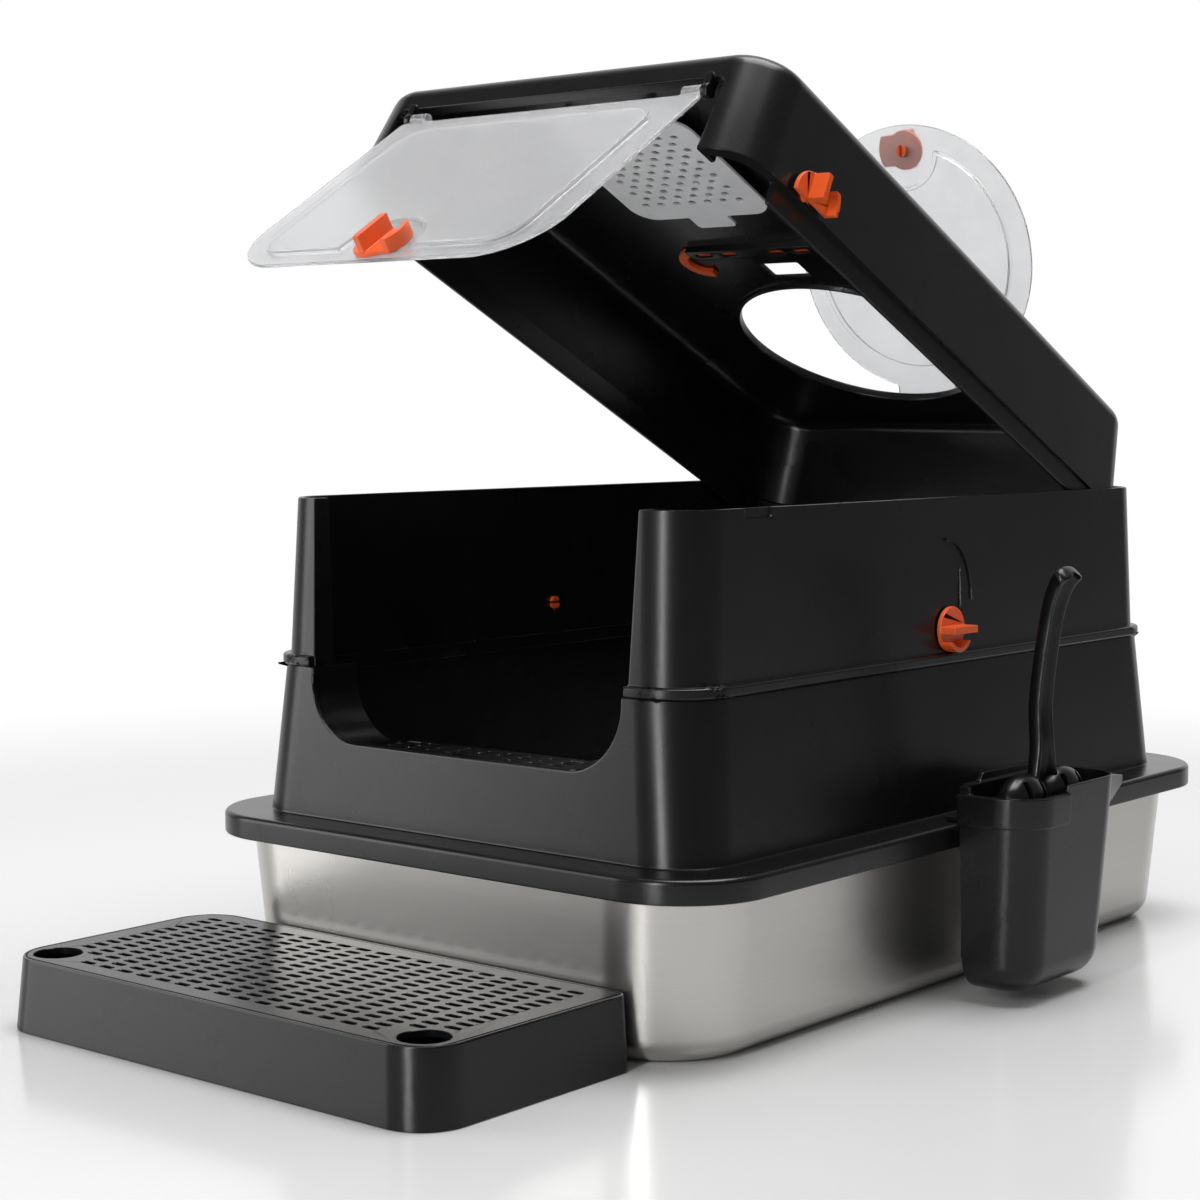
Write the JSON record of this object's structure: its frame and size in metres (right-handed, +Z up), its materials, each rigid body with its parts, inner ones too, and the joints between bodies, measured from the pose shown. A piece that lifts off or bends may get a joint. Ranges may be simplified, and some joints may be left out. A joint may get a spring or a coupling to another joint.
{
  "type": "enclosed litter box",
  "caption": "Enclosed cat litter box with a steel pan, tiered black housing, tilting hood, frosted door and top lid, quarter-turn latches, hanging scoop holder and step.",
  "frame": {"origin": "centre of the pan's underside on the floor", "axes": "+Z up, -Y out of the entrance, +X to the right seen from the front"},
  "size_m": [0.4537, 0.748, 0.5531],
  "materials": {
    "steel": "satin stainless sheet",
    "black_plastic": "satin-gloss charcoal plastic",
    "frosted_plastic": "frosted translucent plastic",
    "orange_plastic": "satin orange plastic",
    "white_plastic": "satin white plastic",
    "filter_fibre": "dark fibre mat"
  },
  "bodies": {
    "pan": {"steel_pan": "steel"},
    "lower": {"lower_frame": "black_plastic", "entry_grate": "black_plastic"},
    "upper": {"upper_frame": "black_plastic"},
    "hood": {"hood": "black_plastic", "vent_insert": "orange_plastic"},
    "door": {"front_door": "frosted_plastic"},
    "door_latch": {"door_latch": "orange_plastic"},
    "lid": {"round_lid": "frosted_plastic"},
    "lid_latch": {"lid_latch": "orange_plastic"},
    "cover": {"filter_cover": "white_plastic", "filter_pad": "filter_fibre"},
    "hood_latch_right": {"hood_latch_right": "orange_plastic"},
    "hood_latch_left": {"hood_latch_left": "orange_plastic"},
    "tier_lock_right": {"tier_lock_right": "orange_plastic"},
    "tier_lock_left": {"tier_lock_left": "orange_plastic"},
    "holder": {"scoop_holder": "black_plastic"},
    "scoop": {"scoop": "black_plastic"},
    "step": {"step_tray": "black_plastic"},
    "step_grate": {"step_grate": "black_plastic"}
  },
  "joints": [
    {"name": "lower_lift", "type": "slide", "parent": "pan", "child": "lower", "axis": [0, 0, 1], "range_m": [0, 0.15]},
    {"name": "upper_lift", "type": "slide", "parent": "lower", "child": "upper", "axis": [0, 0, 1], "range_m": [0, 0.12]},
    {"name": "hood_hinge", "type": "hinge", "parent": "upper", "child": "hood", "pos_m": [0, 0.1906, 0.293], "axis": [1, 0, 0], "range_deg": [-5, 26]},
    {"name": "door_hinge", "type": "hinge", "parent": "hood", "child": "door", "pos_m": [0, -0.18531, 0.53008], "axis": [1, 0, 0], "range_deg": [-58, 32]},
    {"name": "door_latch_turn", "type": "hinge", "parent": "door", "child": "door_latch", "pos_m": [0, -0.32863, 0.44053], "axis": [0, -0.5299, 0.848], "range_deg": [-90, 0]},
    {"name": "lid_hinge", "type": "hinge", "parent": "hood", "child": "lid", "pos_m": [0, 0.23785, 0.3593], "axis": [1, 0, 0], "range_deg": [-45, 52]},
    {"name": "lid_latch_turn", "type": "hinge", "parent": "lid", "child": "lid_latch", "pos_m": [0, 0.19875, 0.53552], "axis": [0, 0.9781, 0.2079], "range_deg": [0, 90]},
    {"name": "cover_hinge", "type": "hinge", "parent": "hood", "child": "cover", "pos_m": [0, -0.13568, 0.52646], "axis": [1, 0, 0], "range_deg": [-75, 0]},
    {"name": "hood_latch_right_turn", "type": "hinge", "parent": "hood", "child": "hood_latch_right", "pos_m": [0.15786, -0.15226, 0.47124], "axis": [1, 0, 0], "range_deg": [-90, 0]},
    {"name": "hood_latch_left_turn", "type": "hinge", "parent": "hood", "child": "hood_latch_left", "pos_m": [-0.15786, -0.15226, 0.47124], "axis": [-1, 0, 0], "range_deg": [0, 90]},
    {"name": "tier_lock_right_turn", "type": "hinge", "parent": "upper", "child": "tier_lock_right", "pos_m": [0.16162, 0, 0.218], "axis": [1, 0, 0], "range_deg": [0, 90]},
    {"name": "tier_lock_left_turn", "type": "hinge", "parent": "upper", "child": "tier_lock_left", "pos_m": [-0.16162, 0, 0.218], "axis": [-1, 0, 0], "range_deg": [-90, 0]},
    {"name": "holder_pull", "type": "slide", "parent": "lower", "child": "holder", "axis": [1, 0, 0], "range_m": [0, 0.1]},
    {"name": "scoop_lift", "type": "slide", "parent": "holder", "child": "scoop", "axis": [0, 0, 1], "range_m": [0, 0.2]},
    {"name": "step_pull", "type": "slide", "parent": "pan", "child": "step", "axis": [0, -1, 0], "range_m": [0, 0.3]},
    {"name": "step_grate_lift", "type": "slide", "parent": "step", "child": "step_grate", "axis": [0, 0, 1], "range_m": [0, 0.025]}
  ]
}
